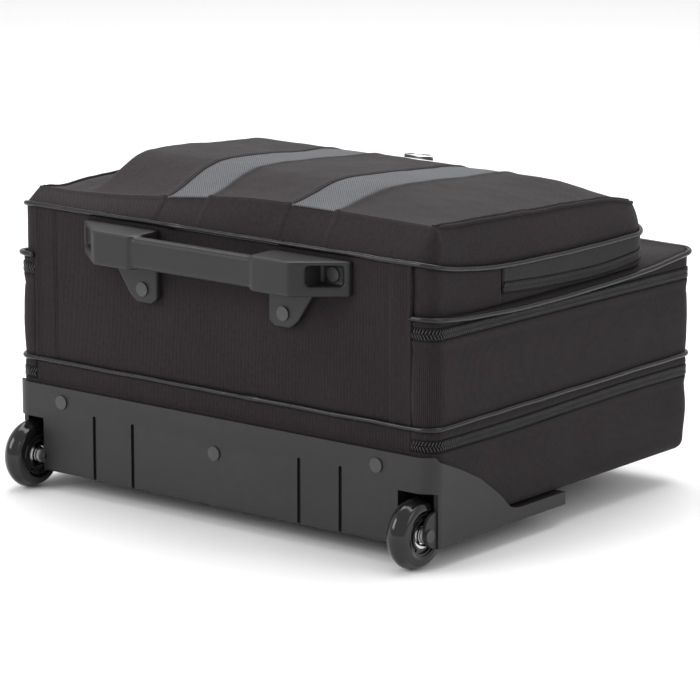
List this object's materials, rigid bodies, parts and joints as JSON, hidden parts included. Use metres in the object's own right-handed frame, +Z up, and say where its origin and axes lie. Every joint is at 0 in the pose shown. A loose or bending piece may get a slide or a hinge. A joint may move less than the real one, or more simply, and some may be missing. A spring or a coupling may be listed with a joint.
{
  "type": "rolling laptop case",
  "caption": "Soft rolling laptop case on its back: zipped sections over a moulded kick plate with skate wheels, grab handle, front pocket and telescopic trolley.",
  "frame": {"origin": "on the floor under the middle of the whole object", "axes": "+Z up from the back to the front pocket, -Y towards the wheels, +Y towards the trolley grip, X across the case"},
  "size_m": [0.4522, 0.4276, 0.2862],
  "materials": {
    "ballistic_fabric": "matt woven",
    "ribbed_fabric": "matt ribbed weave",
    "stiffener_board": "matt board",
    "lining_foam": "brushed lining over foam",
    "moulded_plastic": "fine moulded grain",
    "inner_plastic": "smooth",
    "rivet_metal": "black coated",
    "wheel_tyre": "glossy",
    "wheel_hub": "glossy",
    "bearing_steel": "polished",
    "axle_steel": "plain",
    "zip_coil": "semi-matt coil and tape",
    "piping_vinyl": "glossy",
    "grey_webbing": "matt webbing",
    "handle_webbing": "matt webbing",
    "trolley_tube": "satin anodised",
    "zip_slider": "black coated",
    "badge_metal": "satin"
  },
  "bodies": {
    "rear_section": {"rear_shell": "ballistic_fabric", "back_board": "stiffener_board", "laptop_pad": "lining_foam", "kick_plate": "moulded_plastic", "kick_plate_rivets": "rivet_metal", "bearing_inner_rings": "bearing_steel", "wheel_axles": "rivet_metal", "axle_spacers": "axle_steel", "rear_zip_lower_row": "zip_coil", "trolley_outer_tubes": "trolley_tube", "trolley_bracket": "moulded_plastic", "trolley_bezel": "moulded_plastic", "trolley_screws": "axle_steel"},
    "mid_section": {"mid_shell": "ballistic_fabric", "divider_board": "stiffener_board", "wheel_end_panel": "ballistic_fabric", "grab_handle": "moulded_plastic", "handle_rivets": "rivet_metal", "handle_backing_plates": "axle_steel", "carry_handle": "handle_webbing", "carry_handle_anchors": "handle_webbing", "mid_piping": "piping_vinyl", "rear_zip_upper_row": "zip_coil", "main_zip_lower_row": "zip_coil"},
    "front_section": {"lid_shell": "ribbed_fabric", "lid_piping": "piping_vinyl", "panel_top_piping": "piping_vinyl", "main_zip_upper_row": "zip_coil", "pocket_zip_lower_row": "zip_coil", "pocket_pad": "ribbed_fabric", "pad_stripes": "grey_webbing"},
    "pocket_flap_body": {"pocket_flap": "ribbed_fabric", "flap_piping": "piping_vinyl", "pocket_zip_upper_row": "zip_coil", "flap_stripes": "grey_webbing", "badge": "badge_metal"},
    "left_wheel": {"left_tyre": "wheel_tyre", "left_hub": "wheel_hub", "left_bearings": "bearing_steel"},
    "right_wheel": {"right_tyre": "wheel_tyre", "right_hub": "wheel_hub", "right_bearings": "bearing_steel"},
    "trolley_stage1": {"stage1_tubes": "trolley_tube", "stage1_plugs": "inner_plastic"},
    "trolley_stage2": {"stage2_tubes": "trolley_tube", "stage2_plugs": "inner_plastic", "trolley_grip": "moulded_plastic", "button_spring": "axle_steel"},
    "trolley_button": {"release_button": "inner_plastic", "release_rods": "axle_steel"},
    "rear_zip_left_slider_body": {"rear_zip_left_slider": "zip_slider"},
    "rear_zip_left_pull_body": {"rear_zip_left_pull": "zip_slider"},
    "rear_zip_right_slider_body": {"rear_zip_right_slider": "zip_slider"},
    "rear_zip_right_pull_body": {"rear_zip_right_pull": "zip_slider"},
    "main_zip_left_slider_body": {"main_zip_left_slider": "zip_slider"},
    "main_zip_left_pull_body": {"main_zip_left_pull": "zip_slider"},
    "main_zip_right_slider_body": {"main_zip_right_slider": "zip_slider"},
    "main_zip_right_pull_body": {"main_zip_right_pull": "zip_slider"},
    "pocket_zip_slider_body": {"pocket_zip_slider": "zip_slider"},
    "pocket_zip_pull_body": {"pocket_zip_pull": "zip_slider"}
  },
  "joints": [
    {"name": "rear_compartment_opening", "type": "hinge", "parent": "rear_section", "child": "mid_section", "pos_m": [0, -0.17995, 0.1135], "axis": [1, 0, 0], "range_deg": [0, 100]},
    {"name": "main_compartment_opening", "type": "hinge", "parent": "mid_section", "child": "front_section", "pos_m": [0, -0.17995, 0.246], "axis": [1, 0, 0], "range_deg": [0, 105]},
    {"name": "pocket_opening", "type": "hinge", "parent": "front_section", "child": "pocket_flap_body", "pos_m": [0, -0.08675, 0.2862], "axis": [1, 0, 0], "range_deg": [0, 50]},
    {"name": "left_wheel_spin", "type": "hinge", "parent": "rear_section", "child": "left_wheel", "pos_m": [-0.2073, -0.18175, 0.0293], "axis": [1, 0, 0], "continuous": true},
    {"name": "right_wheel_spin", "type": "hinge", "parent": "rear_section", "child": "right_wheel", "pos_m": [0.2073, -0.18175, 0.0293], "axis": [1, 0, 0], "continuous": true},
    {"name": "trolley_stage1_slide", "type": "slide", "parent": "rear_section", "child": "trolley_stage1", "axis": [0, 1, 0], "range_m": [0, 0.26]},
    {"name": "trolley_stage2_slide", "type": "slide", "parent": "trolley_stage1", "child": "trolley_stage2", "axis": [0, 1, 0], "range_m": [0, 0.26]},
    {"name": "release_button_press", "type": "slide", "parent": "trolley_stage2", "child": "trolley_button", "axis": [0, -1, 0], "range_m": [0, 0.0035], "stiffness_N_per_m": 400, "deforming": ["button_spring"]},
    {"name": "rear_zip_left_run", "type": "slide", "parent": "mid_section", "child": "rear_zip_left_slider_body", "axis": [-1, 0, 0], "range_m": [0, 0.175]},
    {"name": "rear_zip_left_pull_swing", "type": "hinge", "parent": "rear_zip_left_slider_body", "child": "rear_zip_left_pull_body", "pos_m": [-0.009, 0.19185, 0.1], "axis": [1, 0, 0], "range_deg": [0, 150]},
    {"name": "rear_zip_right_run", "type": "slide", "parent": "mid_section", "child": "rear_zip_right_slider_body", "axis": [1, 0, 0], "range_m": [0, 0.175]},
    {"name": "rear_zip_right_pull_swing", "type": "hinge", "parent": "rear_zip_right_slider_body", "child": "rear_zip_right_pull_body", "pos_m": [0.009, 0.19185, 0.1], "axis": [1, 0, 0], "range_deg": [0, 150]},
    {"name": "main_zip_left_run", "type": "slide", "parent": "front_section", "child": "main_zip_left_slider_body", "axis": [-1, 0, 0], "range_m": [0, 0.175]},
    {"name": "main_zip_left_pull_swing", "type": "hinge", "parent": "main_zip_left_slider_body", "child": "main_zip_left_pull_body", "pos_m": [-0.009, 0.19185, 0.187], "axis": [1, 0, 0], "range_deg": [0, 150]},
    {"name": "main_zip_right_run", "type": "slide", "parent": "front_section", "child": "main_zip_right_slider_body", "axis": [1, 0, 0], "range_m": [0, 0.175]},
    {"name": "main_zip_right_pull_swing", "type": "hinge", "parent": "main_zip_right_slider_body", "child": "main_zip_right_pull_body", "pos_m": [0.009, 0.19185, 0.187], "axis": [1, 0, 0], "range_deg": [0, 150]},
    {"name": "pocket_zip_run", "type": "slide", "parent": "pocket_flap_body", "child": "pocket_zip_slider_body", "axis": [1, 0, 0], "range_m": [0, 0.3]},
    {"name": "pocket_zip_pull_swing", "type": "hinge", "parent": "pocket_zip_slider_body", "child": "pocket_zip_pull_body", "pos_m": [-0.15325, 0.13585, 0.211], "axis": [1, 0, 0], "range_deg": [0, 76]}
  ]
}
